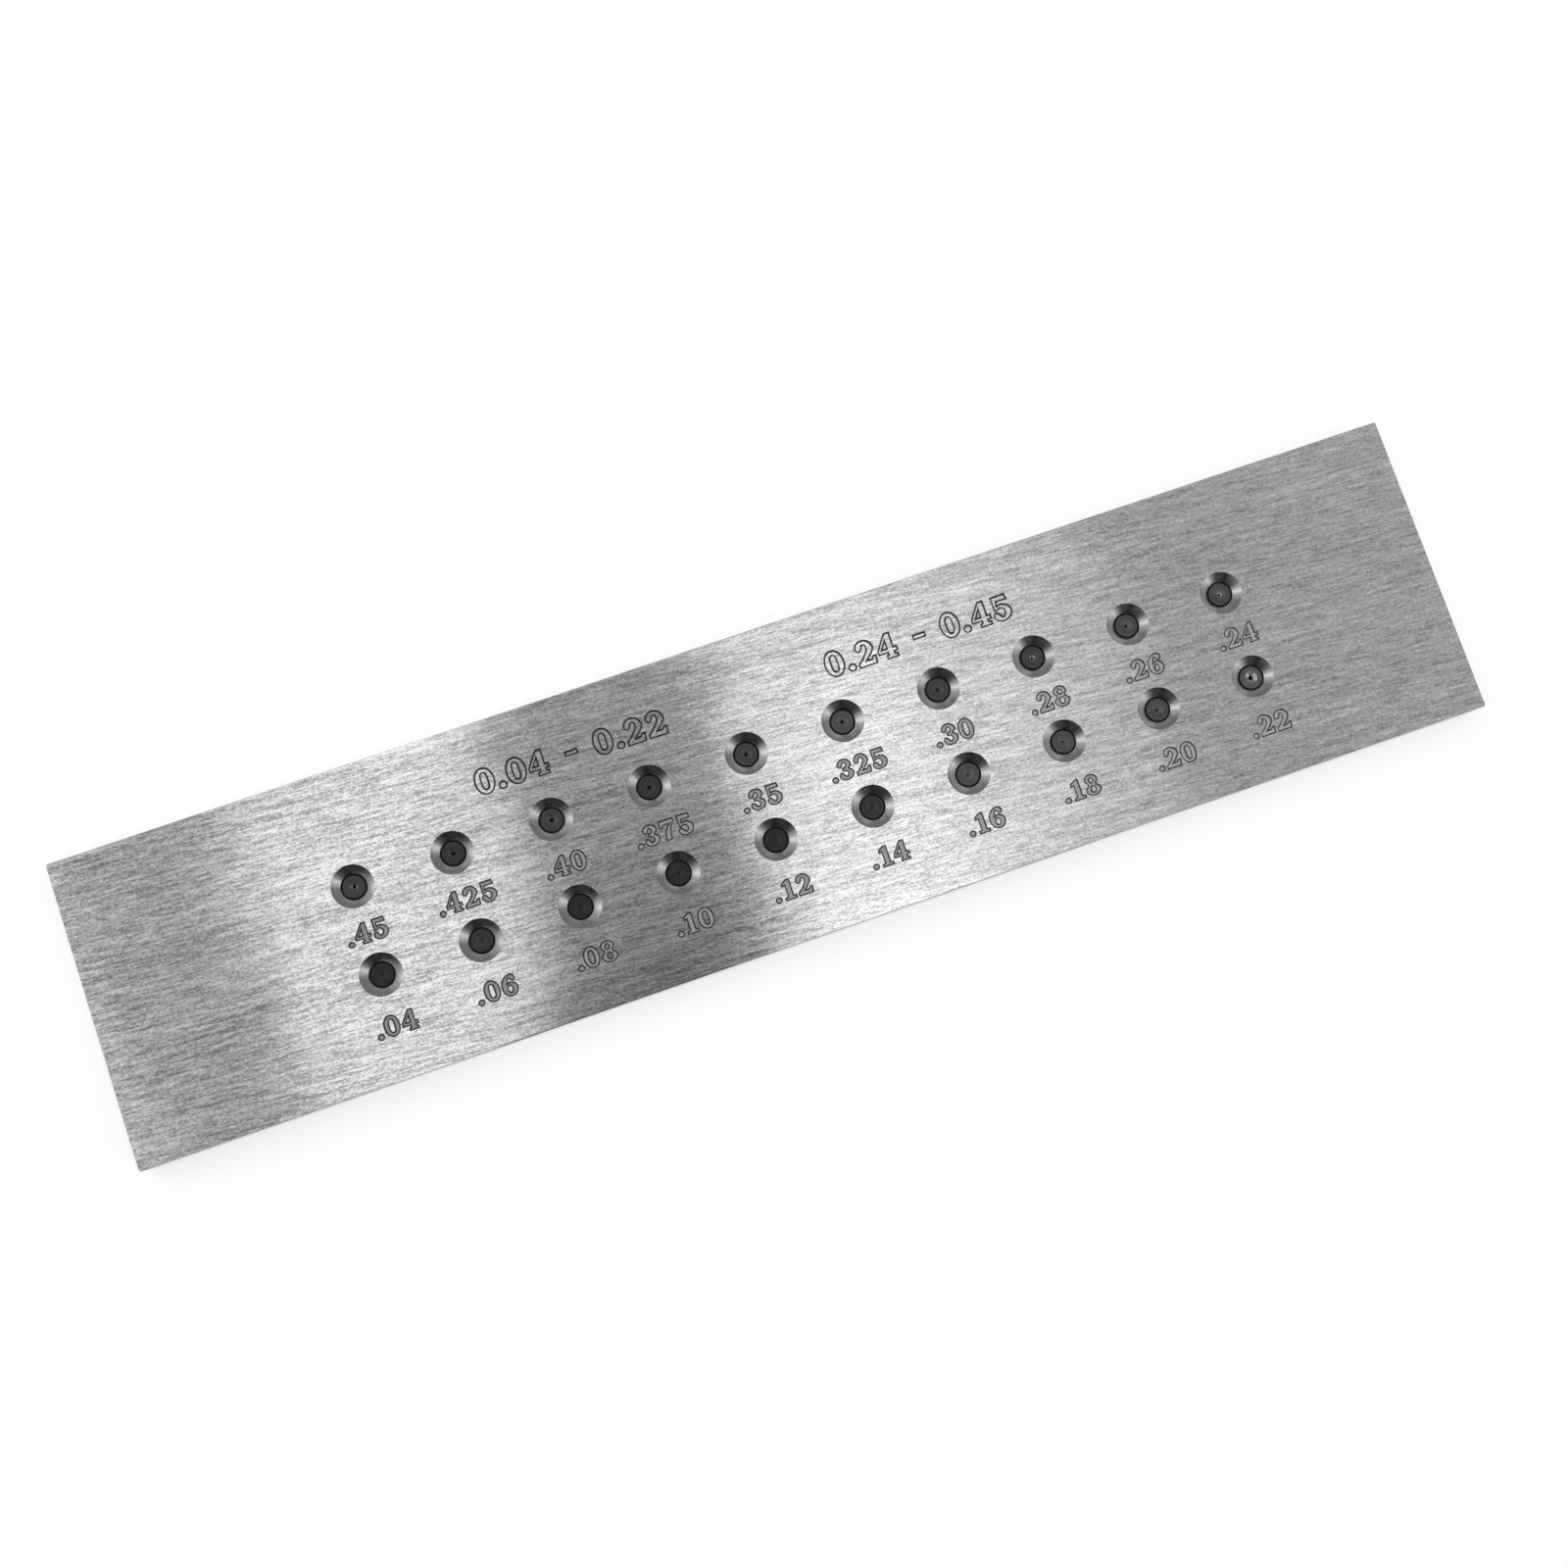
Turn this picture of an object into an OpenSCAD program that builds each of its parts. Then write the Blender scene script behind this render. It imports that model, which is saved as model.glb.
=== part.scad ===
// Wire draw plate: a flat steel bar that carries two rows of carbide die nibs.
// +X runs along the bar, +Z points out of the numbered face, and the back face lies on z = 0.
// Wire goes in at the back of a nib and is pulled out of the numbered face.

/* [Plate] */
// Length of the steel bar
plate_l = 228.6; // [190:0.1:300]
// Width of the steel bar
plate_w = 50.8; // [32:0.1:80]
// Thickness of the steel bar
plate_t = 6.35; // [5.2:0.05:12]
// Bevel along the edges of the two large faces
edge_break = 0.4; // [0.1:0.05:0.8]
// Bevel down the four corners
corner_break = 0.3; // [0.1:0.05:1.5]

/* [Hole field] */
// Distance between neighbouring dies in a row
die_pitch = 16.55; // [10:0.05:18]
// Distance between the two rows
row_gap = 14.75; // [10:0.05:24]
// Shift of the hole field along the bar, from the middle of the bar
field_x = 4.9; // [-10:0.1:10]
// Shift of the hole field across the bar, from the middle of the bar
field_y = -1; // [-4:0.1:4]

/* [Countersink in the numbered face] */
// Diameter of the countersink at the face
sink_d = 7; // [5.6:0.1:8.5]
// Included angle of the countersink
sink_angle = 100; // [82:1:118]
// Diameter of the mouth, where the countersink ends
mouth_d = 4.3; // [3.9:0.05:5]
// Height of the straight land in the mouth
land_h = 0.25; // [0.1:0.05:0.8]

/* [Seat behind the mouth] */
// Outside diameter of a nib
nib_d = 6; // [5.2:0.1:7.5]
// Radial allowance between a nib and its seat bore
press_gap = 0.005; // [0:0.005:0.02]
// Included angle of the shoulder that a nib is pulled against
shoulder_angle = 90; // [60:1:118]
// Depth of a nib's entry face below the back of the plate
back_recess = 1; // [0.4:0.05:1.4]
// Lead-in bevel of the seat bore at the back of the plate
lead_in = 0.4; // [0.1:0.05:0.8]

/* [Die nib] */
// Diameter of the flat exit face, which shows in the mouth
face_d = 3.7; // [3:0.05:3.8]
// Bevel round the entry end of a nib
nib_break = 0.25; // [0.1:0.05:0.5]
// Diameter of the relief cone in the exit face
relief_d = 2.1; // [1:0.05:2.6]
// Included angle of the relief cone
relief_angle = 120; // [90:1:140]
// Length of the bearing, which sets the wire's size
bearing_l = 0.3; // [0.1:0.05:0.6]
// Length of the approach cone
approach_l = 0.9; // [0.3:0.05:1.2]
// Included angle of the approach cone
approach_angle = 16; // [8:1:24]
// Diameter of the entry bell at the end of a nib
bell_d = 3.8; // [2.8:0.05:4.2]

/* [Die sizes] */
// Bearing diameters of the upper row, from left to right
upper_dies = [0.45, 0.425, 0.4, 0.375, 0.35, 0.325, 0.3, 0.28, 0.26, 0.24]; // [0.04:0.005:0.6]
// Bearing diameters of the lower row, from left to right
lower_dies = [0.04, 0.06, 0.08, 0.1, 0.12, 0.14, 0.16, 0.18, 0.2, 0.22]; // [0.04:0.005:0.6]

/* [Hidden] */
// Cuts run this far past the faces that they open
over = 0.5;
$fn = 96;

rows = [lower_dies, upper_dies];
row_y = [field_y - row_gap / 2, field_y + row_gap / 2];

sink_slope = tan(sink_angle / 2);
shoulder_slope = tan(shoulder_angle / 2);
seat_r = nib_d / 2 + press_gap;
mouth_r = mouth_d / 2;

// Heights along a die's axis, from the front face of the plate down to the back
mouth_z = plate_t - (sink_d - mouth_d) / 2 / sink_slope;
shoulder_z = mouth_z - land_h;
seat_z = shoulder_z - (seat_r - mouth_r) / shoulder_slope;

// A nib's shoulder lies on the seat's shoulder, and its exit face stands up inside the mouth
exit_z = shoulder_z + (mouth_d - face_d) / 2 / shoulder_slope;
nib_shoulder_z = exit_z - (nib_d - face_d) / 2 / shoulder_slope;
entry_z = back_recess;

function row_x(row, i) = field_x + (i - (len(row) - 1) / 2) * die_pitch;
function nib_name(d) = str("die_nib_", round(d * 1000), "um");
function bearing_top(d) = exit_z - (relief_d - d) / 2 / tan(relief_angle / 2);

// Rectangle about the origin with its corners cut off
module bevelled_rectangle(w, h, bevel) {
    polygon([
        [-w / 2 + bevel, -h / 2], [w / 2 - bevel, -h / 2],
        [w / 2, -h / 2 + bevel], [w / 2, h / 2 - bevel],
        [w / 2 - bevel, h / 2], [-w / 2 + bevel, h / 2],
        [-w / 2, h / 2 - bevel], [-w / 2, -h / 2 + bevel]
    ]);
}

// The bar before it is drilled, with every edge broken
module bar() {
    intersection() {
        linear_extrude(plate_t)
            bevelled_rectangle(plate_l, plate_w, corner_break);
        rotate([90, 0, 0])
            linear_extrude(plate_w, center = true)
                translate([0, plate_t / 2]) bevelled_rectangle(plate_l, plate_t, edge_break);
        rotate([90, 0, 90])
            linear_extrude(plate_l, center = true)
                translate([0, plate_t / 2]) bevelled_rectangle(plate_w, plate_t, edge_break);
    }
}

// Space that is cut for one die: countersink, mouth, shoulder, seat bore and lead-in
module die_seat() {
    rotate_extrude()
        polygon([
            [0, -over],
            [seat_r + lead_in + over, -over],
            [seat_r, lead_in],
            [seat_r, seat_z],
            [mouth_r, shoulder_z],
            [mouth_r, mouth_z],
            [sink_d / 2 + over * sink_slope, plate_t + over],
            [0, plate_t + over]
        ]);
}

module plate() {
    color("#b4b6b8")
        difference() {
            bar();
            for (r = [0 : len(rows) - 1], i = [0 : len(rows[r]) - 1])
                translate([row_x(rows[r], i), row_y[r], 0]) die_seat();
        }
}

// One nib on the Z axis, with its bearing at diameter d
module die_nib(d) {
    approach_z = bearing_top(d) - bearing_l;
    bell_z = approach_z - approach_l;
    color("#4a4b4d")
        rotate_extrude()
            polygon([
                [relief_d / 2, exit_z],
                [face_d / 2, exit_z],
                [nib_d / 2, nib_shoulder_z],
                [nib_d / 2, entry_z + nib_break],
                [nib_d / 2 - nib_break, entry_z],
                [bell_d / 2, entry_z],
                [d / 2 + approach_l * tan(approach_angle / 2), bell_z],
                [d / 2, approach_z],
                [d / 2, bearing_top(d)]
            ]);
}

plate();
for (r = [0 : len(rows) - 1], i = [0 : len(rows[r]) - 1])
    translate([row_x(rows[r], i), row_y[r], 0]) die_nib(rows[r][i]);
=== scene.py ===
import math

import bpy
from mathutils import Matrix, Vector


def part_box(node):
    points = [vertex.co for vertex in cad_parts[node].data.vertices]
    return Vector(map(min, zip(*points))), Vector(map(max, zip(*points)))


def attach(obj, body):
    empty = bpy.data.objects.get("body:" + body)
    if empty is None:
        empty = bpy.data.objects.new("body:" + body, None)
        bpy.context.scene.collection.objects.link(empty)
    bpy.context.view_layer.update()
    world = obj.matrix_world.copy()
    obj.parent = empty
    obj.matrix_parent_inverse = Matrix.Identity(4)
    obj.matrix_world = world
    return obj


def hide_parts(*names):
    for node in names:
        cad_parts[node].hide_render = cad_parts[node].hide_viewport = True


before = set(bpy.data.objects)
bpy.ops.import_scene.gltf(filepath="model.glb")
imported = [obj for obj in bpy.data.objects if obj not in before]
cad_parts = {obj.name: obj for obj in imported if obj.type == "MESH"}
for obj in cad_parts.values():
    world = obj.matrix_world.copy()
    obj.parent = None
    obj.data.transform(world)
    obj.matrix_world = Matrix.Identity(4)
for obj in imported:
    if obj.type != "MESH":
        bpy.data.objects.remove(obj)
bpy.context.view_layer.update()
print("frame loaded:", len(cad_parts), "nodes")

mm = 0.001
tiny = 1e-6            # m, nearer than this is the same height
smoothAngle = 28       # degrees, flatter edges are shaded smooth


# small helpers

def clearSelection():
    if bpy.context.object and bpy.context.object.mode != "OBJECT":
        bpy.ops.object.mode_set(mode="OBJECT")
    bpy.ops.object.select_all(action="DESELECT")


def pickOnly(*pieces):
    clearSelection()
    for piece in pieces:
        piece.select_set(True)
    bpy.context.view_layer.objects.active = pieces[0]


def pickParts(piece, kind, test):
    # into edit mode, with the faces or edges selected that pass a test
    pickOnly(piece)
    bpy.ops.object.mode_set(mode="EDIT")
    bpy.ops.mesh.select_mode(type=kind)
    bpy.ops.mesh.select_all(action="DESELECT")
    bpy.ops.object.mode_set(mode="OBJECT")
    for part in piece.data.polygons if kind == "FACE" else piece.data.edges:
        part.select = test(part)
    bpy.ops.object.mode_set(mode="EDIT")


def closeMesh(merge):
    # out of edit mode, with points that fall together merged and all faces pointing outwards
    bpy.ops.mesh.select_all(action="SELECT")
    bpy.ops.mesh.remove_doubles(threshold=merge)
    bpy.ops.mesh.normals_make_consistent(inside=False)
    bpy.ops.object.mode_set(mode="OBJECT")


def placeCopy(piece, name, shift, scale=1.0):
    # a copy with its own mesh, its place and size put into that mesh
    copy = piece.copy()
    copy.data = piece.data.copy()
    copy.name = name
    bpy.context.scene.collection.objects.link(copy)
    copy.data.transform(Matrix.Translation(shift) @ Matrix.Scale(scale, 4))
    return copy


def joinPieces(pieces, name):
    pickOnly(*pieces)
    bpy.ops.object.join()
    bpy.context.object.name = name
    return bpy.context.object


def cutAway(piece, cutter):
    pickOnly(piece)
    cut = piece.modifiers.new("cut", "BOOLEAN")
    cut.operation = "DIFFERENCE"
    cut.solver = "MANIFOLD"
    cut.object = cutter
    bpy.ops.object.modifier_apply(modifier=cut.name)
    bpy.data.objects.remove(cutter)


def smoothPiece(piece):
    # smooth rounds, with the flats kept flat by weighted normals
    pickOnly(piece)
    bpy.ops.object.shade_smooth_by_angle(angle=math.radians(smoothAngle))
    weigh = piece.modifiers.new("weigh", "WEIGHTED_NORMAL")
    weigh.weight = 100
    weigh.keep_sharp = True
    bpy.ops.object.modifier_apply(modifier=weigh.name)


def turnPiece(name, profile, steps):
    # one point is drawn along the profile (radius, height), then spun round the axis
    clearSelection()
    bpy.ops.mesh.primitive_plane_add(size=mm)
    piece = bpy.context.object
    piece.name = name
    bpy.ops.object.mode_set(mode="EDIT")
    bpy.ops.mesh.select_mode(type="VERT")
    bpy.ops.mesh.select_all(action="SELECT")
    bpy.ops.mesh.merge(type="CENTER")
    bpy.ops.transform.translate(value=(profile[0][0] * mm, 0, profile[0][1] * mm))
    for (r0, z0), (r1, z1) in zip(profile, profile[1:]):
        bpy.ops.mesh.extrude_vertices_move(
            TRANSFORM_OT_translate={"value": ((r1 - r0) * mm, 0, (z1 - z0) * mm)})
    bpy.ops.mesh.select_all(action="SELECT")
    bpy.ops.mesh.spin(steps=steps, angle=2 * math.pi, center=(0, 0, 0), axis=(0, 0, 1))
    closeMesh(merge=1e-7)
    return piece


def roundCorner(before, corner, after, radius, count):
    # points of a small round at one corner of a profile
    a, b, c = Vector(before), Vector(corner), Vector(after)
    start = b + (a - b).normalized() * radius
    end = b + (c - b).normalized() * radius
    points = []
    for i in range(count + 1):
        t = i / count
        points.append(tuple((1 - t) ** 2 * start + 2 * t * (1 - t) * b + t ** 2 * end))
    return points


def awayFrom(spot, axis):
    return math.hypot(spot.x - axis.x, spot.y - axis.y)


def dressPiece(piece, finishes, kindOf):
    # each face gets the finish of its kind
    piece.data.materials.clear()
    for finish in finishes.values():
        piece.data.materials.append(finish)
    order = list(finishes)
    for face in piece.data.polygons:
        face.material_index = order.index(kindOf(face))


# dies and their places, read from the frame

dies = []
for node in sorted(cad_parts):
    if node.startswith("die_nib_"):
        low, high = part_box(node)
        dies.append({
            "node": node,
            "bore": int(node[len("die_nib_"):-len("um")]) / 1000,     # mm
            "place": Vector(((low.x + high.x) / 2, (low.y + high.y) / 2, 0)),
        })
plateLow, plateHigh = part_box("plate")
topZ = plateHigh.z
middleY = sum(die["place"].y for die in dies) / len(dies)


# the steel bar and its seats

plateSettings = {
    "edgeRound": 0.24,     # mm, round along the edges of the two large faces
    "cornerRound": 0.34,   # mm, round down the four corners
    "roundSteps": 3,
    "sinkRadius": 3.5,     # mm, countersink at the face
    "mouthRadius": 2.15,
    "mouthHeight": 5.2172,  # mm above the back face
    "shoulderHeight": 4.9672,
    "seatRadius": 3.005,
    "seatHeight": 4.1122,
    "leadIn": 0.4,
    "rimBreak": 0.05,      # mm, deburred rim of the countersink
    "rimFlare": 1.25,      # the deburred rim opens this much wider than the countersink
    "cutOver": 0.5,        # mm, cuts run this far past the faces that they open
    "turnSteps": 96,
    "flatMerge": 0.015,    # mm, points merged on the outlines of the flats
    "flatNear": 1e-4,      # mm, height within which a face belongs to a flat
    "grainTilt": -3.0,     # degrees, grinding marks against the long edge
    "grainScale": 10,      # size of the UV map in map units per m
}


def isLevel(piece, edge):
    low, high = (piece.data.vertices[i].co.z for i in edge.vertices)
    return abs(low - high) < tiny


def makeBar():
    s = plateSettings
    clearSelection()
    bpy.ops.mesh.primitive_cube_add(size=1, location=(plateLow + plateHigh) / 2)
    bar = bpy.context.object
    bar.name = "steelBar"
    bar.scale = plateHigh - plateLow
    bpy.ops.object.transform_apply(location=True, rotation=True, scale=True)
    # corners first, then the outlines of the two large faces
    for level, width in ((False, "cornerRound"), (True, "edgeRound")):
        pickParts(bar, "EDGE", lambda edge: isLevel(bar, edge) == level)
        bpy.ops.mesh.bevel(offset=s[width] * mm, segments=s["roundSteps"], profile=0.5,
                           affect="EDGES")
        bpy.ops.object.mode_set(mode="OBJECT")
    return bar


def makeSeatCutter():
    s = plateSettings
    top, over = topZ / mm, s["cutOver"]
    rim, soft = s["sinkRadius"], s["rimBreak"]
    slope = (rim - s["mouthRadius"]) / (top - s["mouthHeight"])
    profile = [
        (0, -over), (s["seatRadius"] + s["leadIn"] + over, -over),
        (s["seatRadius"], s["leadIn"]), (s["seatRadius"], s["seatHeight"]),
        (s["mouthRadius"], s["shoulderHeight"]), (s["mouthRadius"], s["mouthHeight"]),
        (rim - soft * slope, top - soft), (rim + over * slope * s["rimFlare"], top + over),
        (0, top + over),
    ]
    return turnPiece("seatCutter", profile, s["turnSteps"])


# the sunk numbers

# figures as outlines on a grid 100 high: a point with a third value is a corner
figureShapes = {
    "0": [[(36, 102), (72, 50), (36, -2), (0, 50)],
          [(36, 83), (48, 50), (36, 17), (24, 50)]],
    "1": [[(8, 0, 0), (61, 0, 0), (61, 13, 0), (47, 16, 0), (47, 100, 0), (33, 100, 0), (8, 84, 0),
           (8, 70, 0), (22, 75, 0), (22, 16, 0), (8, 13, 0)]],
    "2": [[(2, 0, 0), (69, 0, 0), (73, 31, 0), (60, 31, 0), (54, 21, 0), (35, 21, 0), (44, 30, 0),
           (56, 42), (70, 70), (37, 102), (4, 76), (15, 61), (27, 71), (35, 85), (45, 70), (31, 43),
           (2, 15, 0)]],
    "3": [[(4, 78), (36, 102), (68, 75), (53, 53, 0), (71, 28), (35, -2), (2, 22), (13, 37),
           (25, 26), (35, 15), (46, 29), (36, 44), (31, 44.3, 0), (24, 45, 0), (24, 59, 0),
           (31, 59.5, 0), (35, 60), (44, 74), (35, 86), (27, 76), (15, 64)]],
    "4": [[(28, 0, 0), (70, 0, 0), (70, 12, 0), (60, 15, 0), (60, 24, 0), (73, 24, 0), (73, 40, 0),
           (60, 40, 0), (60, 100, 0), (41, 100, 0), (0, 40, 0), (0, 24, 0), (36, 24, 0),
           (36, 15, 0), (28, 12, 0)],
          [(36, 40, 0), (36, 71, 0), (16, 40, 0)]],
    "5": [[(9, 100, 0), (63, 100, 0), (66, 78, 0), (25, 79, 0), (24, 61, 0), (33, 63.5, 0),
           (42, 65), (72, 32), (36, -2), (2, 21), (13, 36), (25, 26), (34, 15), (47, 32), (36, 49),
           (19, 45.2, 0), (10, 43, 0)]],
    "6": [[(72, 33), (37, -2), (0, 44), (44, 102), (69, 83), (58, 69), (46, 79), (40, 86),
           (30.8, 66.2, 0), (27, 58, 0), (36.2, 61.8, 0), (44, 65)],
          [(38, 49), (48, 32), (37, 15), (26, 32)]],
    "7": [[(3, 100, 0), (72, 100, 0), (72, 87, 0), (50, 46), (43, 0, 0), (17, 0, 0), (27, 46),
           (52, 78, 0), (21, 78, 0), (15, 66, 0), (3, 66, 0)]],
    "8": [[(36, 102), (67, 77), (55, 54), (72, 27), (36, -2), (0, 27), (17, 54), (5, 77)],
          [(36, 87), (45, 75), (36, 62), (27, 75)],
          [(36, 45), (48, 29), (36, 13), (24, 29)]],
    ".": [[(14, 27), (28, 13), (14, -1), (0, 13)]],
    "-": [[(6, 40, 0), (52, 40, 0), (52, 57, 0), (6, 57, 0)]],
}
# a nine is a six turned round
figureShapes["9"] = [[(72 - p[0], 100 - p[1], *p[2:]) for p in ring] for ring in figureShapes["6"]]

numberSettings = {
    "height": 3.3,         # mm, figures beside the dies
    "below": (7.65, 8.25),  # mm, a die's axis to the middle of its number, upper and lower row
    "aside": -0.05,        # mm, numbers stand this far right of their dies
    "grid": 100,           # height of a figure on its own grid
    "wide": 1.06,          # figures are drawn out along the line
    "wall": 0.24,          # mm, sloping side of a groove
    "bolder": 0.1,         # mm, added all round each stroke
    "depth": 0.2,
    "gap": 10,             # between figures, on the figures' own grid
    "space": 55,
    "curveSteps": 5,
    "legendHeight": 4.2,   # mm, the size ranges above the rows
    "legendY": 15.7,
    "legendStarts": (-46.2, 13.4),
}


def makeFigure(sign):
    # a flat outline, thinned and then bevelled, so that the groove narrows towards its floor
    n = numberSettings
    unit = n["height"] / n["grid"] * mm
    shape = bpy.data.curves.new("figure", "CURVE")
    shape.dimensions = "2D"
    shape.fill_mode = "BOTH"
    shape.resolution_u = n["curveSteps"]
    shape.offset = (n["bolder"] - n["wall"]) * mm
    shape.bevel_depth = n["wall"] * mm
    shape.bevel_resolution = 0
    for ring in figureShapes[sign]:
        line = shape.splines.new("BEZIER")
        line.bezier_points.add(len(ring) - 1)
        line.use_cyclic_u = True
        for point, spot in zip(line.bezier_points, ring):
            point.co = (spot[0] * unit * n["wide"], spot[1] * unit, 0)
            kind = "VECTOR" if len(spot) == 3 else "AUTO"
            point.handle_left_type = point.handle_right_type = kind
    figure = bpy.data.objects.new("figure", shape)
    bpy.context.scene.collection.objects.link(figure)
    pickOnly(figure)
    bpy.ops.object.convert(target="MESH")
    figure = bpy.context.object
    figure.scale = (1, 1, n["depth"] / n["wall"])
    bpy.ops.object.transform_apply(location=False, rotation=False, scale=True)
    bpy.ops.object.mode_set(mode="EDIT")
    closeMesh(merge=2e-7)
    return figure


def figureStep(sign):
    # from the start of one sign to the start of the next
    n = numberSettings
    if sign == " ":
        return n["space"]
    return max(p[0] for ring in figureShapes[sign] for p in ring) * n["wide"] + n["gap"]


def numberWidth(words, height):
    n = numberSettings
    return (sum(figureStep(sign) for sign in words) - n["gap"]) * height / n["grid"] * mm


def writeNumber(figures, words, left, baseline, height):
    # copies of the figures in a line, on the face of the bar
    n = numberSettings
    unit = height / n["grid"] * mm
    signs, x = [], left
    for sign in words:
        if sign != " ":
            shift = Vector((x, baseline, topZ))
            signs.append(placeCopy(figures[sign], "sign", shift, height / n["height"]))
        x += figureStep(sign) * unit
    return signs


def makeNumberCutter():
    n = numberSettings
    figures = {sign: makeFigure(sign) for sign in figureShapes}
    signs = []
    for die in dies:
        # no zero before the point, and two or three figures after it
        words = ("%.3f" % die["bore"]).rstrip("0")[1:].ljust(3, "0")
        below = n["below"][die["place"].y < middleY]
        left = die["place"].x + n["aside"] * mm - numberWidth(words, n["height"]) / 2
        low = die["place"].y - (below + n["height"] / 2) * mm
        signs += writeNumber(figures, words, left, low, n["height"])
    bores = sorted(die["bore"] for die in dies)
    half = len(bores) // 2
    for row, start in zip((bores[:half], bores[half:]), n["legendStarts"]):
        low = (n["legendY"] - n["legendHeight"] / 2) * mm
        words = "%.2f - %.2f" % (row[0], row[-1])
        signs += writeNumber(figures, words, start * mm, low, n["legendHeight"])
    cutter = joinPieces(signs, "numberCutter")
    for figure in figures.values():
        bpy.data.objects.remove(figure)
    return cutter


def refillFlat(bar, height):
    # one of the two large flats, filled anew between its outlines, in mm to suit the fill
    s = plateSettings
    bar.data.transform(Matrix.Scale(1 / mm, 4))
    pickParts(bar, "FACE", lambda face: all(
        abs(bar.data.vertices[i].co.z - height / mm) < s["flatNear"] for i in face.vertices))
    bpy.ops.mesh.delete(type="FACE")
    bpy.ops.mesh.select_mode(type="EDGE")
    bpy.ops.mesh.select_non_manifold(extend=False)
    bpy.ops.mesh.remove_doubles(threshold=s["flatMerge"])
    bpy.ops.mesh.select_all(action="DESELECT")
    bpy.ops.mesh.select_non_manifold(extend=False)
    bpy.ops.mesh.fill(use_beauty=True)
    bpy.ops.mesh.select_all(action="SELECT")
    bpy.ops.mesh.normals_make_consistent(inside=False)
    bpy.ops.object.mode_set(mode="OBJECT")
    bar.data.transform(Matrix.Scale(mm, 4))


# which finish a face of the bar gets, and which way its tool marks run

facingSettings = {
    "level": 0.999,        # least part of the normal that points up on the numbered face
    "grooveFloor": 0.98,
    "side": 0.7,
    "grooveTop": 3e-6,     # m below the numbered face, where a groove begins
    "grooveSpare": 1e-5,   # m, looked for below the floor of a groove
    "margin": 1.0,         # mm, no groove this near the edge of the bar
    "ringRadius": 3.0,     # mm, at which turning marks have their true length
}


def nearestAxis(spot):
    return min((die["place"] for die in dies), key=lambda axis: awayFrom(spot, axis))


def barKind(face):
    s, f = plateSettings, facingSettings
    spot, normal = face.center, face.normal
    onFace = abs(normal.z) > f["level"] and spot.z > topZ - tiny
    rim = (s["sinkRadius"] + s["rimBreak"]) * mm
    if awayFrom(spot, nearestAxis(spot)) < rim and not onFace:
        inSink = spot.z > s["mouthHeight"] * mm + tiny
        inLeadIn = tiny < spot.z < s["leadIn"] * mm - tiny
        if inSink or inLeadIn:
            return "turned"
        if tiny < spot.z < topZ - tiny:
            return "seat"
    depth = topZ - spot.z
    deepest = numberSettings["depth"] * mm + f["grooveSpare"]
    inField = (abs(spot.x) < plateHigh.x - f["margin"] * mm
               and abs(spot.y) < plateHigh.y - f["margin"] * mm)
    if f["grooveTop"] < depth < deepest and inField:
        return "grooveFloor" if normal.z > f["grooveFloor"] else "grooveWall"
    if abs(normal.x) > f["side"]:
        return "end"
    return "edge" if abs(normal.y) > f["side"] else "flat"


def layGrain(bar):
    # a UV map whose U runs along the tool marks of each face
    tilt = math.radians(plateSettings["grainTilt"])
    scale = plateSettings["grainScale"]
    ring = facingSettings["ringRadius"] * mm
    grain = bar.data.uv_layers.new(name="grain")
    for face in bar.data.polygons:
        kind = barKind(face)
        axis = nearestAxis(face.center)
        base = math.atan2(face.center.y - axis.y, face.center.x - axis.x)
        for loop in face.loop_indices:
            spot = bar.data.vertices[bar.data.loops[loop].vertex_index].co
            if kind in ("turned", "seat"):
                angle = math.atan2(spot.y - axis.y, spot.x - axis.x)
                angle = base + (angle - base + math.pi) % (2 * math.pi) - math.pi
                u, v = angle * ring, spot.z + awayFrom(spot, axis)
            elif kind == "end":
                u, v = spot.y, spot.z
            elif kind == "edge":
                u, v = spot.x, spot.z
            else:
                u = spot.x * math.cos(tilt) + spot.y * math.sin(tilt)
                v = spot.y * math.cos(tilt) - spot.x * math.sin(tilt)
            grain.data[loop].uv = (u * scale, v * scale)


# node helpers

def newFinish(name):
    finish = bpy.data.materials.new(name)
    finish.use_nodes = True
    tree = finish.node_tree
    return finish, tree, tree.nodes["Principled BSDF"]


def addNode(tree, kind, **values):
    node = tree.nodes.new(kind)
    for key, value in values.items():
        setattr(node, key, value)
    return node


def wire(tree, a, b):
    tree.links.new(a, b)


def setSockets(node, values):
    for name, value in values.items():
        node.inputs[name].default_value = value


def addMath(tree, operation, *values):
    # each value is a socket or a plain number
    node = addNode(tree, "ShaderNodeMath", operation=operation)
    for value, socket in zip(values, node.inputs):
        if isinstance(value, (int, float)):
            socket.default_value = value
        else:
            wire(tree, value, socket)
    return node.outputs[0]


def addPlace(tree):
    return addNode(tree, "ShaderNodeTexCoord").outputs["Object"]


def addAxes(tree, place):
    node = addNode(tree, "ShaderNodeSeparateXYZ")
    wire(tree, place, node.inputs[0])
    return node.outputs


def addTangent(tree):
    tangent = addNode(tree, "ShaderNodeTangent", direction_type="UV_MAP", uv_map="grain")
    return tangent.outputs["Tangent"]


def spread(tree, value, low, high, toLow, toHigh):
    # a value taken from one range to another, and held at the ends
    node = addNode(tree, "ShaderNodeMapRange")
    wire(tree, value, node.inputs["Value"])
    setSockets(node, {"From Min": low, "From Max": high, "To Min": toLow, "To Max": toHigh})
    return node.outputs["Result"]


def mixTones(tree, value, dark, light):
    # a colour between two tones, chosen by a value from 0 to 1
    mix = addNode(tree, "ShaderNodeMix", data_type="RGBA")
    wire(tree, value, mix.inputs["Factor"])
    setSockets(mix, {"A": (*dark, 1), "B": (*light, 1)})
    return mix.outputs["Result"]


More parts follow.
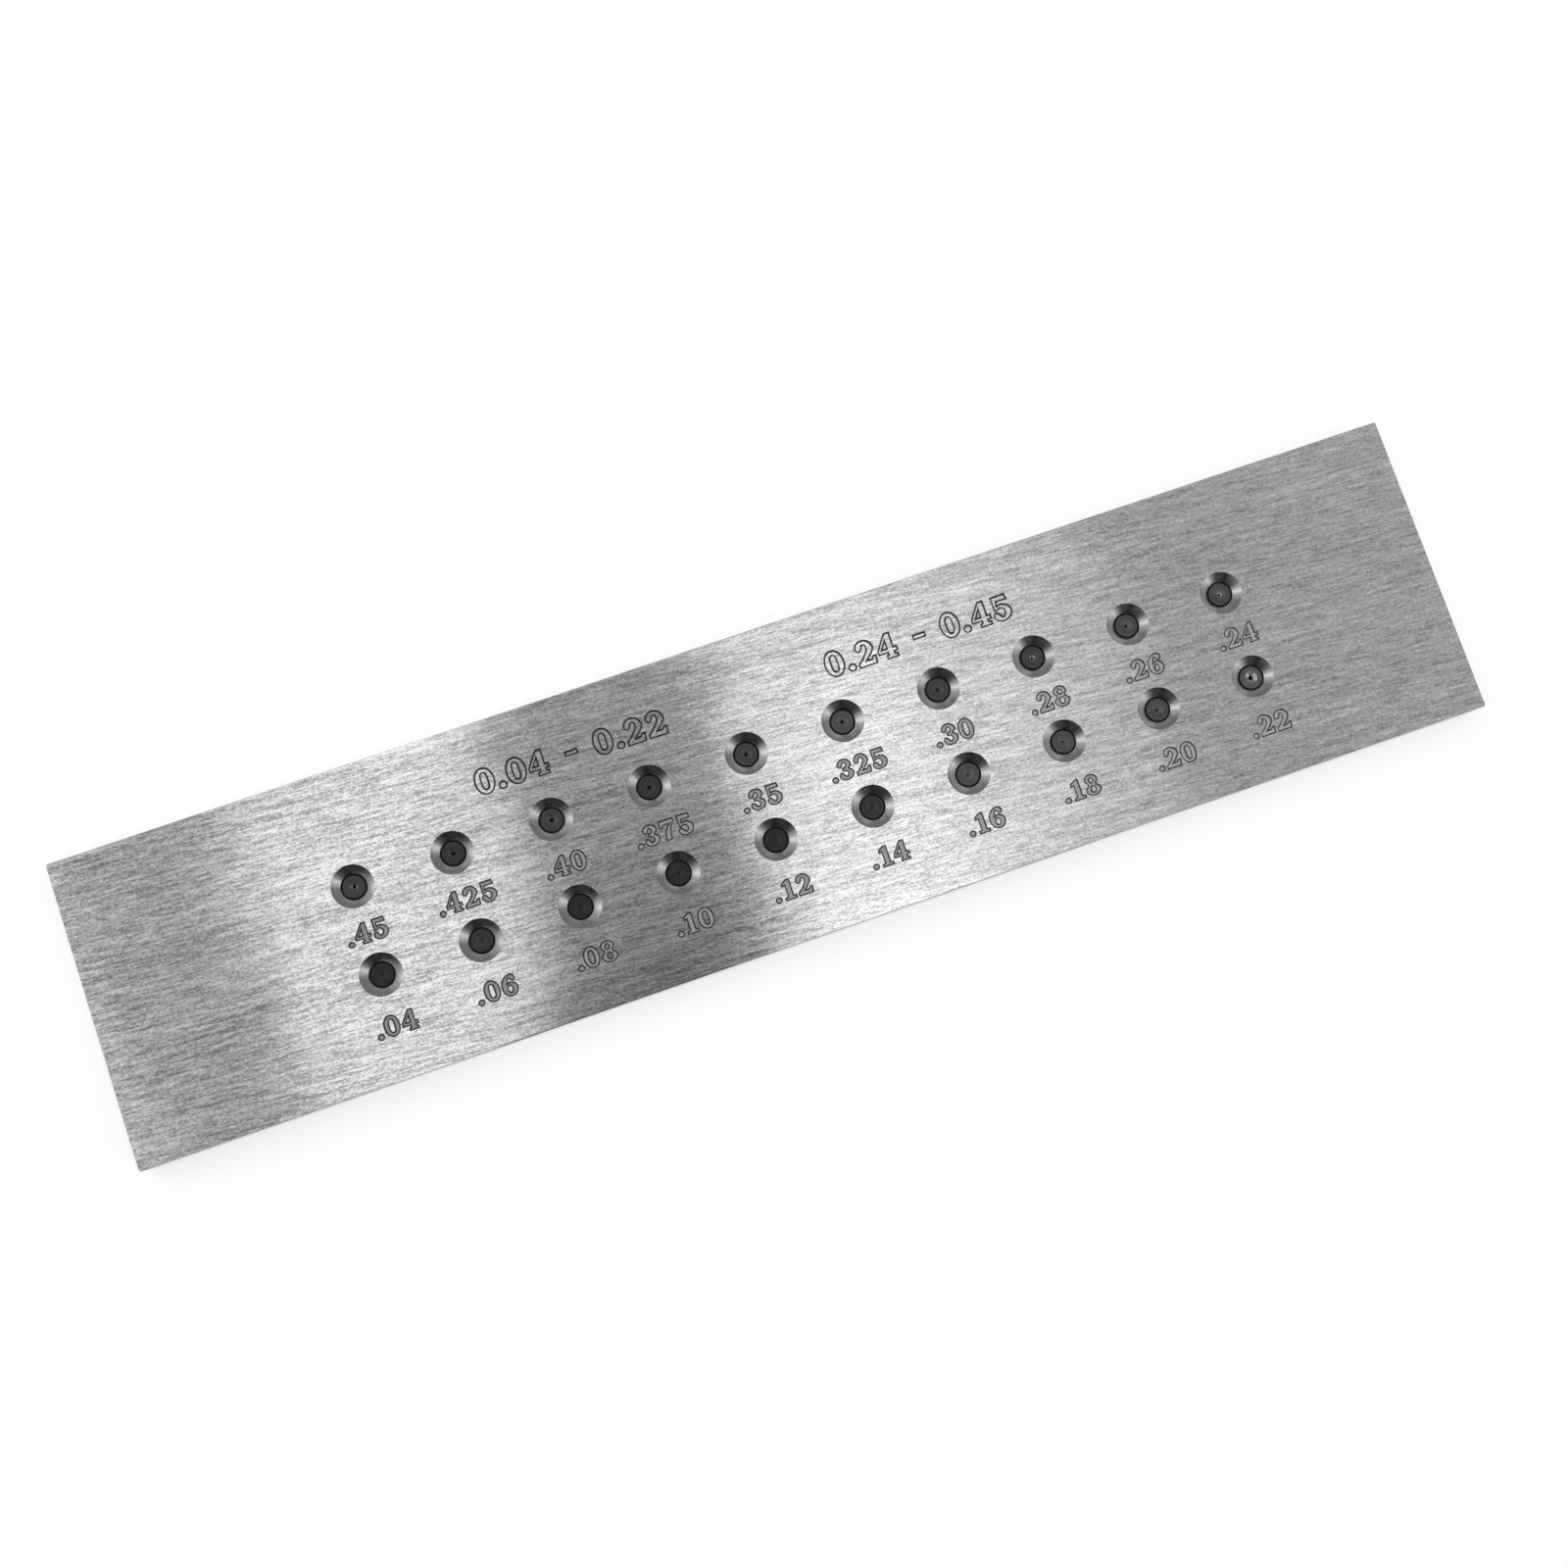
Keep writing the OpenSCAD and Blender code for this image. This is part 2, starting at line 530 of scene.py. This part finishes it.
def addBump(tree, height, distance, under=None):
    # under is the normal of a coarser bump
    bump = addNode(tree, "ShaderNodeBump")
    setSockets(bump, {"Strength": 1.0, "Distance": distance})
    wire(tree, height, bump.inputs["Height"])
    if under:
        wire(tree, under, bump.inputs["Normal"])
    return bump.outputs["Normal"]


def makeMarksGroup():
    # long marks of a grinding belt or a lathe tool: noise drawn out along the first axis
    group = bpy.data.node_groups.new("toolMarks", "ShaderNodeTree")
    face = group.interface
    face.new_socket("Position", in_out="INPUT", socket_type="NodeSocketVector")
    for name, value in (("Along", 100.0), ("Across", 3000.0), ("Tilt", 0.0), ("Seed", 0.0)):
        socket = face.new_socket(name, in_out="INPUT", socket_type="NodeSocketFloat")
        socket.default_value = value
    face.new_socket("Marks", in_out="OUTPUT", socket_type="NodeSocketFloat")
    start = group.nodes.new("NodeGroupInput")
    end = group.nodes.new("NodeGroupOutput")
    turn = addNode(group, "ShaderNodeVectorRotate", rotation_type="Z_AXIS")
    wire(group, start.outputs["Position"], turn.inputs["Vector"])
    wire(group, start.outputs["Tilt"], turn.inputs["Angle"])
    stretch = addNode(group, "ShaderNodeCombineXYZ")
    wire(group, start.outputs["Along"], stretch.inputs["X"])
    wire(group, start.outputs["Across"], stretch.inputs["Y"])
    wire(group, start.outputs["Across"], stretch.inputs["Z"])
    drawn = addNode(group, "ShaderNodeVectorMath", operation="MULTIPLY")
    wire(group, turn.outputs["Vector"], drawn.inputs[0])
    wire(group, stretch.outputs["Vector"], drawn.inputs[1])
    noise = addNode(group, "ShaderNodeTexNoise", noise_dimensions="4D")
    setSockets(noise, {"Scale": 1.0, "Detail": 2.0, "Roughness": 0.55})
    wire(group, drawn.outputs["Vector"], noise.inputs["Vector"])
    wire(group, start.outputs["Seed"], noise.inputs["W"])
    wire(group, noise.outputs["Fac"], end.inputs["Marks"])
    return group


marksGroup = makeMarksGroup()


def addMarks(tree, place, along, across, tilt, seed):
    # along and across are the length and the width of a mark in mm, tilt is in degrees
    node = addNode(tree, "ShaderNodeGroup")
    node.node_tree = marksGroup
    wire(tree, place, node.inputs["Position"])
    setSockets(node, {"Along": 1 / (along * mm), "Across": 1 / (across * mm),
                      "Tilt": math.radians(tilt), "Seed": seed})
    return node.outputs["Marks"]


def mixMarks(tree, parts):
    # weighted sum of marks, each about zero
    total = -0.5 * sum(weight for _, weight in parts)
    for marks, weight in parts:
        total = addMath(tree, "MULTIPLY_ADD", marks, weight, total)
    return total


# finishes of the bar: tones are dark and light, marks are length, width, tilt and seed

groundSettings = {
    "flat": ((0.30, 0.30, 0.30), (0.94, 0.94, 0.94)),
    "side": ((0.46, 0.46, 0.46), (0.72, 0.72, 0.72)),
    "marks": {
        "grain": (0.45, 0.26, 0, 7.0),
        "fine": (3.0, 0.28, 0, 1.0),
        "middle": (7.0, 0.5, 2, 4.0),
        "broad": (40, 1.8, 0, 9.0),
    },
    "weights": {"grain": 1.0, "fine": 0.8, "middle": 0.6, "broad": 0.3},
    "wave": (45, 30, 0, 2.0),
    "bite": (-0.06, 0.09, 1.14, 0.78),     # from and to along the bar (m), marks' strength there
    "toneReach": 0.28,     # marks this strong take the dark or the light tone
    "roughReach": 0.3,
    "roughness": (0.155, 0.2),
    "anisotropic": 0.99,
    "markBump": 0.00001,   # m
    "waveBump": 0.0002,
}
turnedSettings = {
    "countersink": ((0.46, 0.46, 0.47), (0.66, 0.66, 0.66), 0.14),     # tones and roughness
    # the seat bore and the mouth wall round the nib are painted dark: painted shade in the bore
    "seat": ((0.07, 0.07, 0.07), (0.13, 0.13, 0.13), 0.5),
    "rings": (200, 1.4, 0, 3.0),
    "reach": (0.3, 0.7),
    "roughSpread": 0.05,
    "anisotropic": 0.95,
}
etchedSettings = {
    "floor": ((0.32, 0.32, 0.32), (0.72, 0.72, 0.72), 0.5),            # tones and roughness
    # the sides of the grooves are painted dark: painted shade in the sunk numbers
    "wall": ((0.04, 0.04, 0.04), (0.24, 0.24, 0.24), 0.6),
    "grit": (0.12, 0.1, 0, 6.0),
    "paleToRight": (-0.07, 0.08, -0.2, 0.2),      # from and to along the bar (m), how much paler there
    "toneReach": (0.1, 0.9),
    "roughReach": (0.3, 0.7),
    "roughSpread": 0.06,
    "bump": 0.00002,       # m
}
acrossGrain = 0.25         # turns, brings the gloss across the marks


def makeGroundSteel(name, dark, light, tilt):
    s = groundSettings
    finish, tree, shader = newFinish(name)
    place = addPlace(tree)
    marks = {}
    for kind, (along, across, turn, seed) in s["marks"].items():
        marks[kind] = addMarks(tree, place, along, across, tilt + turn, seed)
    total = mixMarks(tree, [(marks[kind], weight) for kind, weight in s["weights"].items()])
    # the belt bit deeper at the left end than at the right one
    bite = spread(tree, addAxes(tree, place)["X"], *s["bite"])
    total = addMath(tree, "MULTIPLY", total, bite)
    tone = spread(tree, total, -s["toneReach"], s["toneReach"], 0.0, 1.0)
    rough = spread(tree, total, -s["roughReach"], s["roughReach"], *s["roughness"])
    wave = addBump(tree, addMarks(tree, place, *s["wave"]), s["waveBump"])
    wire(tree, mixTones(tree, tone, dark, light), shader.inputs["Base Color"])
    wire(tree, rough, shader.inputs["Roughness"])
    wire(tree, addBump(tree, marks["fine"], s["markBump"], wave), shader.inputs["Normal"])
    wire(tree, addTangent(tree), shader.inputs["Tangent"])
    setSockets(shader, {"Metallic": 1.0, "Anisotropic": s["anisotropic"],
                        "Anisotropic Rotation": acrossGrain})
    return finish


def makeTurnedSteel(name, dark, light, roughness):
    s = turnedSettings
    finish, tree, shader = newFinish(name)
    place = addNode(tree, "ShaderNodeUVMap", uv_map="grain").outputs["UV"]
    rings = addMarks(tree, place, *s["rings"])
    tone = spread(tree, rings, *s["reach"], 0, 1)
    rough = spread(tree, rings, *s["reach"], roughness - s["roughSpread"],
                   roughness + s["roughSpread"])
    wire(tree, mixTones(tree, tone, dark, light), shader.inputs["Base Color"])
    wire(tree, rough, shader.inputs["Roughness"])
    wire(tree, addTangent(tree), shader.inputs["Tangent"])
    setSockets(shader, {"Metallic": 1.0, "Anisotropic": s["anisotropic"],
                        "Anisotropic Rotation": acrossGrain})
    return finish


def makeEtchedSteel(name, dark, light, roughness):
    s = etchedSettings
    finish, tree, shader = newFinish(name)
    place = addPlace(tree)
    grit = addMarks(tree, place, *s["grit"])
    # the grooves are paler towards the right end than at the left one
    paleToRight = addMath(tree, "ADD", grit, spread(tree, addAxes(tree, place)["X"], *s["paleToRight"]))
    tone = spread(tree, paleToRight, *s["toneReach"], 0, 1)
    rough = spread(tree, grit, *s["roughReach"], roughness - s["roughSpread"],
                   roughness + s["roughSpread"])
    wire(tree, mixTones(tree, tone, dark, light), shader.inputs["Base Color"])
    wire(tree, rough, shader.inputs["Roughness"])
    wire(tree, addBump(tree, grit, s["bump"]), shader.inputs["Normal"])
    setSockets(shader, {"Metallic": 1.0})
    return finish


print("cutting the bar")
bar = makeBar()
seatCutter = makeSeatCutter()
seats = [placeCopy(seatCutter, "seat", die["place"]) for die in dies]
cutAway(bar, joinPieces(seats, "seats"))
bpy.data.objects.remove(seatCutter)
print("bar with seats:", len(bar.data.polygons), "faces")
cutAway(bar, makeNumberCutter())
refillFlat(bar, plateLow.z)
refillFlat(bar, topZ)
print("bar with numbers:", len(bar.data.polygons), "faces")
dressPiece(bar, {
    "flat": makeGroundSteel("groundSteel", *groundSettings["flat"], -plateSettings["grainTilt"]),
    "turned": makeTurnedSteel("turnedSteel", *turnedSettings["countersink"]),
    # painted shade in the seat bore and round the nib
    "seat": makeTurnedSteel("seatBorePaintedShade", *turnedSettings["seat"]),
    "grooveFloor": makeEtchedSteel("sunkFloor", *etchedSettings["floor"]),
    # the groove sides carry painted shade
    "grooveWall": makeEtchedSteel("sunkWallPaintedShade", *etchedSettings["wall"]),
    "edge": makeGroundSteel("edgeSteel", *groundSettings["side"], 0),
    "end": makeGroundSteel("endSteel", *groundSettings["side"], 90),
}, barKind)
layGrain(bar)
smoothPiece(bar)
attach(bar, "root")
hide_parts("plate")


# carbide nibs

nibSettings = {
    "radius": 3.0,         # mm
    "faceRadius": 1.85,
    "exitHeight": 5.2672,  # mm above the back face of the bar
    "shoulderHeight": 4.1172,
    "entryHeight": 1.0,
    "entryBreak": 0.25,
    "reliefRadius": 1.05,
    "reliefAngle": 120,
    "bearingLength": 0.3,
    "approachLength": 0.9,
    "approachAngle": 16,
    "bellRadius": 1.9,
    "edgeRound": 0.06,
    "roundSteps": 3,
    "turnSteps": 64,
    "lapped": {0.22: 1.05, 0.24: 0.42, 0.28: 0.42, 0.45: 0.43},    # mm, bright exits by bore
    "boreShadeWidth": 0.1,          # mm, painted shade: a dark rim round a bore
    "wideBoreShade": {0.22: 0.26},
    "gapShadeReach": 0.02,       # mm, how far the painted shade of the gap between nib and seat comes in on the exit face
    "usualShade": 1.0,
    "shades": {            # how light some nibs are against the usual carbide, and their bores
        0.55: (0.04, 0.08, 0.1, 0.12),
        0.75: (0.06, 0.14, 0.375, 0.425),
        1.4: (0.16, 0.18, 0.2, 0.24, 0.26, 0.325),
        1.9: (0.22,),
    },
}
carbideSettings = {        # tone and roughness
    "sinteredCarbide": ((0.078, 0.078, 0.075), 0.45),
    "reliefCarbide": ((0.165, 0.165, 0.16), 0.62),
    # painted shade round the bore, near black
    "boreStain": ((0.012, 0.012, 0.012), 0.7),
    "lappedCarbide": ((0.5, 0.5, 0.49), 0.11),
    # painted shade in the gap between the nib and its seat
    "seatResidue": ((0.045, 0.045, 0.045), 0.6),
}
gritSettings = {
    "marks": (0.25, 0.2, 20, 11.0),
    "reach": (0.3, 0.7),
    "tones": (0.8, 1.25),          # against the carbide's own tone
    "roughness": (-0.05, 0.08),    # added to the carbide's own
    "bump": 0.00001,               # m
}


def makeNib(die):
    s = nibSettings
    bore = die["bore"] / 2
    relieved = (s["reliefRadius"] - bore) / math.tan(math.radians(s["reliefAngle"] / 2))
    bearingTop = s["exitHeight"] - relieved
    approach = bearingTop - s["bearingLength"]
    bell = approach - s["approachLength"]
    approachEnd = bore + s["approachLength"] * math.tan(math.radians(s["approachAngle"] / 2))
    bearing = (bore, bearingTop)
    relief = (s["reliefRadius"], s["exitHeight"])
    face = (s["faceRadius"], s["exitHeight"])
    shoulder = (s["radius"], s["shoulderHeight"])
    profile = [bearing]
    # rings in the relief cone, where its finish changes
    for radius in (bore + boreShadeRim(die), s["lapped"].get(die["bore"], 0)):
        if profile[-1][0] < radius < s["reliefRadius"]:
            part = (radius - bore) / (s["reliefRadius"] - bore)
            profile.append(tuple(Vector(bearing).lerp(Vector(relief), part)))
    profile += roundCorner(bearing, relief, face, s["edgeRound"], s["roundSteps"])
    profile += roundCorner(relief, face, shoulder, s["edgeRound"], s["roundSteps"])
    profile += [
        shoulder, (s["radius"], s["entryHeight"] + s["entryBreak"]),
        (s["radius"] - s["entryBreak"], s["entryHeight"]), (s["bellRadius"], s["entryHeight"]),
        (approachEnd, bell), (bore, approach), bearing,
    ]
    nib = turnPiece("nib_" + die["node"].split("_")[-1], profile, s["turnSteps"])
    nib.data.transform(Matrix.Translation(die["place"]))
    return nib


def boreShadeRim(die):
    return nibSettings["wideBoreShade"].get(die["bore"], nibSettings["boreShadeWidth"])


def nibKind(die, face):
    s = nibSettings
    away = awayFrom(face.center, die["place"]) / mm
    if face.center.z / mm > s["shoulderHeight"] and away > s["faceRadius"] - s["gapShadeReach"]:
        return "seatResidue"
    if away < die["bore"] / 2 + boreShadeRim(die):
        return "boreStain"
    if away < s["reliefRadius"] - s["edgeRound"]:
        return "lappedCarbide" if away < s["lapped"].get(die["bore"], 0) else "reliefCarbide"
    return "sinteredCarbide"


def makeCarbide(name, tone, roughness):
    g = gritSettings
    finish, tree, shader = newFinish(name)
    grit = addMarks(tree, addPlace(tree), *g["marks"])
    dark, light = (tuple(c * level for c in tone) for level in g["tones"])
    mixed = mixTones(tree, spread(tree, grit, *g["reach"], 0, 1), dark, light)
    rough = spread(tree, grit, *g["reach"], *(roughness + more for more in g["roughness"]))
    wire(tree, mixed, shader.inputs["Base Color"])
    wire(tree, rough, shader.inputs["Roughness"])
    wire(tree, addBump(tree, grit, g["bump"]), shader.inputs["Normal"])
    setSockets(shader, {"Metallic": 1.0})
    return finish


def nibShade(die):
    for shade, bores in nibSettings["shades"].items():
        if die["bore"] in bores:
            return shade
    return nibSettings["usualShade"]


def makeShaded(shade):
    # the face and the relief of a nib share its shade
    finishes = {}
    for name in ("sinteredCarbide", "reliefCarbide"):
        tone, roughness = carbideSettings[name]
        shaded = tuple(c * shade for c in tone)
        finishes[name] = makeCarbide("%s%d" % (name, shade * 100), shaded, roughness)
    return finishes


# these finishes are the same on all nibs
plainCarbides = {name: makeCarbide(name, *carbideSettings[name])
                 for name in ("boreStain", "lappedCarbide", "seatResidue")}
shadedCarbides = {}
for die in dies:
    shade = nibShade(die)
    if shade not in shadedCarbides:
        shadedCarbides[shade] = makeShaded(shade)
    nib = makeNib(die)
    dressPiece(nib, {**shadedCarbides[shade], **plainCarbides}, lambda face: nibKind(die, face))
    smoothPiece(nib)
    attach(nib, "root")
    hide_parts(die["node"])
print("nibs turned:", len(dies))


# floor, light and camera

stageSettings = {
    "floorSize": 8.0,
    "floorDrop": 0.00005,      # m, keeps the floor off the back face of the bar
    "floorColour": (0.8, 0.8, 0.8),
    "floorRoughness": 0.9,
    "floorGloss": 0.2,
    "floorGlow": 0.6,          # added where the floor is looked at, to bring it to white
    "farFloor": (0.2, 0.6),    # m from the middle, where the floor begins and ends to grow whiter
    "farGlow": 0.4,
    "worldLevel": 1.0,
}


def makeFloor():
    s = stageSettings
    clearSelection()
    bpy.ops.mesh.primitive_plane_add(size=s["floorSize"], location=(0, 0, -s["floorDrop"]))
    floor = bpy.context.object
    floor.name = "floor"
    paper, tree, shader = newFinish("paper")
    setSockets(shader, {"Base Color": (*s["floorColour"], 1), "Roughness": s["floorRoughness"],
                        "Specular IOR Level": s["floorGloss"], "Emission Color": (1, 1, 1, 1)})
    light = addNode(tree, "ShaderNodeLightPath").outputs
    seen = addMath(tree, "MAXIMUM", light["Is Camera Ray"], light["Is Glossy Ray"])
    seen = addMath(tree, "MAXIMUM", seen, light["Is Transmission Ray"])
    # no glow under the bar, which keeps the bores dark
    place = addPlace(tree)
    axes = addAxes(tree, place)
    outside = []
    for axis, reach in (("X", plateHigh.x), ("Y", plateHigh.y)):
        outside.append(addMath(tree, "GREATER_THAN", addMath(tree, "ABSOLUTE", axes[axis]), reach))
    shown = addMath(tree, "MULTIPLY", seen, addMath(tree, "MAXIMUM", *outside))
    # the far floor is a little whiter, so that no horizon shows
    away = addNode(tree, "ShaderNodeVectorMath", operation="LENGTH")
    wire(tree, place, away.inputs[0])
    whiter = spread(tree, away.outputs["Value"], *s["farFloor"], 0.0, s["farGlow"])
    far = addMath(tree, "MULTIPLY", light["Is Camera Ray"], whiter)
    glow = addMath(tree, "MULTIPLY_ADD", shown, s["floorGlow"], far)
    wire(tree, glow, shader.inputs["Emission Strength"])
    floor.data.materials.append(paper)


# boards that the steel mirrors, out of the picture: corners in m, and how light they are
cardSettings = {
    "ceiling": {"tone": 0.7, "glow": 0.11, "corners": (
        (-1.2, -1.2, 1.15), (1.2, -1.2, 1.15), (-1.2, 1.2, 1.15), (1.2, 1.2, 1.15))},
    "lensBoard": {"tone": 0.02, "glow": 0.0, "corners": (
        (-0.145, -0.5, 0.4), (0.007, -0.5, 0.4), (-0.078, -0.015, 0.4), (0.007, -0.015, 0.4))},
}


def makeCards():
    for name, c in cardSettings.items():
        clearSelection()
        bpy.ops.mesh.primitive_plane_add(size=1)
        card = bpy.context.object
        card.name = name
        for corner, spot in zip(card.data.vertices, c["corners"]):
            corner.co = spot
        board, tree, shader = newFinish(name)
        setSockets(shader, {"Base Color": (c["tone"], c["tone"], c["tone"], 1), "Roughness": 1.0,
                            "Emission Color": (1, 1, 1, 1), "Emission Strength": c["glow"]})
        card.data.materials.append(board)
        card.visible_camera = False


# low screen all round, which the countersinks mirror: heading in degrees, and brightness there
screenSettings = {
    "radius": 0.75,        # m
    "height": 0.65,
    "sides": 96,
    "tones": ((-180, 0.45), (-170, 0.12), (-152, 0.02), (-95, 0.02), (-68, 0.07), (-53, 0.35),
              (-38, 1.0), (-22, 0.65), (-8, 0.3), (5, 0.23), (112, 0.23), (142, 0.6), (157, 1.25),
              (174, 0.55), (180, 0.45)),
}


def makeScreen():
    s = screenSettings
    clearSelection()
    bpy.ops.mesh.primitive_cylinder_add(
        vertices=s["sides"], radius=s["radius"], depth=s["height"], end_fill_type="NOTHING",
        location=(0, 0, s["height"] / 2))
    bpy.ops.object.transform_apply(location=True, rotation=True, scale=True)
    screen = bpy.context.object
    screen.name = "screen"
    cloth, tree, shader = newFinish("screenCloth")
    setSockets(shader, {"Base Color": (0, 0, 0, 1), "Roughness": 1.0, "Emission Strength": 1.0})
    axes = addAxes(tree, addPlace(tree))
    heading = addMath(tree, "ARCTAN2", axes["Y"], axes["X"])
    ramp = addNode(tree, "ShaderNodeValToRGB")
    wire(tree, spread(tree, heading, -math.pi, math.pi, 0.0, 1.0), ramp.inputs["Fac"])
    stops = ramp.color_ramp.elements
    while len(stops) < len(s["tones"]):
        stops.new(0.5)
    for stop, (angle, tone) in zip(stops, s["tones"]):
        stop.position = (angle + 180) / 360
        stop.color = (tone, tone, tone, 1)
    wire(tree, ramp.outputs["Color"], shader.inputs["Emission Color"])
    screen.data.materials.append(cloth)
    screen.visible_camera = False


def makeWorld():
    world = bpy.data.worlds.new("studio")
    bpy.context.scene.world = world
    world.use_nodes = True
    setSockets(world.node_tree.nodes["Background"],
               {"Color": (1, 1, 1, 1), "Strength": stageSettings["worldLevel"]})


# soft boxes over the bar: place and size in m, brightness as a white board would show it
lampSettings = {
    "softboxFarLeft": {"place": (-0.55, 0.1, 1.0), "size": (0.3, 2.2), "level": 0.23},
    "softboxLeft": {"place": (-0.195, 0.1, 1.0), "size": (0.188, 2.2), "level": 0.6},
    "softboxMiddle": {"place": (0.113, -0.375, 1.0), "size": (0.134, 1.25), "level": 0.945},
    "softboxRight": {"place": (0.2175, -0.325, 1.0), "size": (0.075, 1.35), "level": 0.55},
    "softboxRim": {"place": (0.29, -0.225, 1.0), "size": (0.07, 1.55), "level": 0.3},
}


def makeLamps():
    for name, s in lampSettings.items():
        lamp = bpy.data.lights.new(name, "AREA")
        lamp.shape = "RECTANGLE"
        lamp.size, lamp.size_y = s["size"]
        lamp.energy = s["level"] * math.pi * s["size"][0] * s["size"][1]
        holder = bpy.data.objects.new(name, lamp)
        holder.location = s["place"]
        bpy.context.scene.collection.objects.link(holder)


cameraSettings = {
    "place": (-22.98, -33.74, 319.94),     # mm
    "lookAt": (0.76, -0.313, 6.35),
    "pictureUp": (0.321, 0.9393, 0.1212),
    "lens": 45,                            # mm, on a sensor of this width
    "sensor": 36,
    "seesFrom": 0.005,                     # m
    "seesTo": 50,
}


def makeCamera():
    s = cameraSettings
    lens = bpy.data.cameras.new("camera")
    lens.lens = s["lens"]
    lens.sensor_width = s["sensor"]
    lens.clip_start = s["seesFrom"]
    lens.clip_end = s["seesTo"]
    holder = bpy.data.objects.new("camera", lens)
    place = Vector(s["place"]) * mm
    forward = (Vector(s["lookAt"]) * mm - place).normalized()
    right = forward.cross(Vector(s["pictureUp"])).normalized()
    up = right.cross(forward)
    turn = Matrix((right, up, -forward)).transposed().to_4x4()
    holder.matrix_world = Matrix.Translation(place) @ turn
    bpy.context.scene.collection.objects.link(holder)
    bpy.context.scene.camera = holder


makeFloor()
makeCards()
makeWorld()
makeScreen()
makeLamps()
makeCamera()
bpy.context.scene.view_settings.view_transform = "Standard"
print("stage, lamps and camera set")
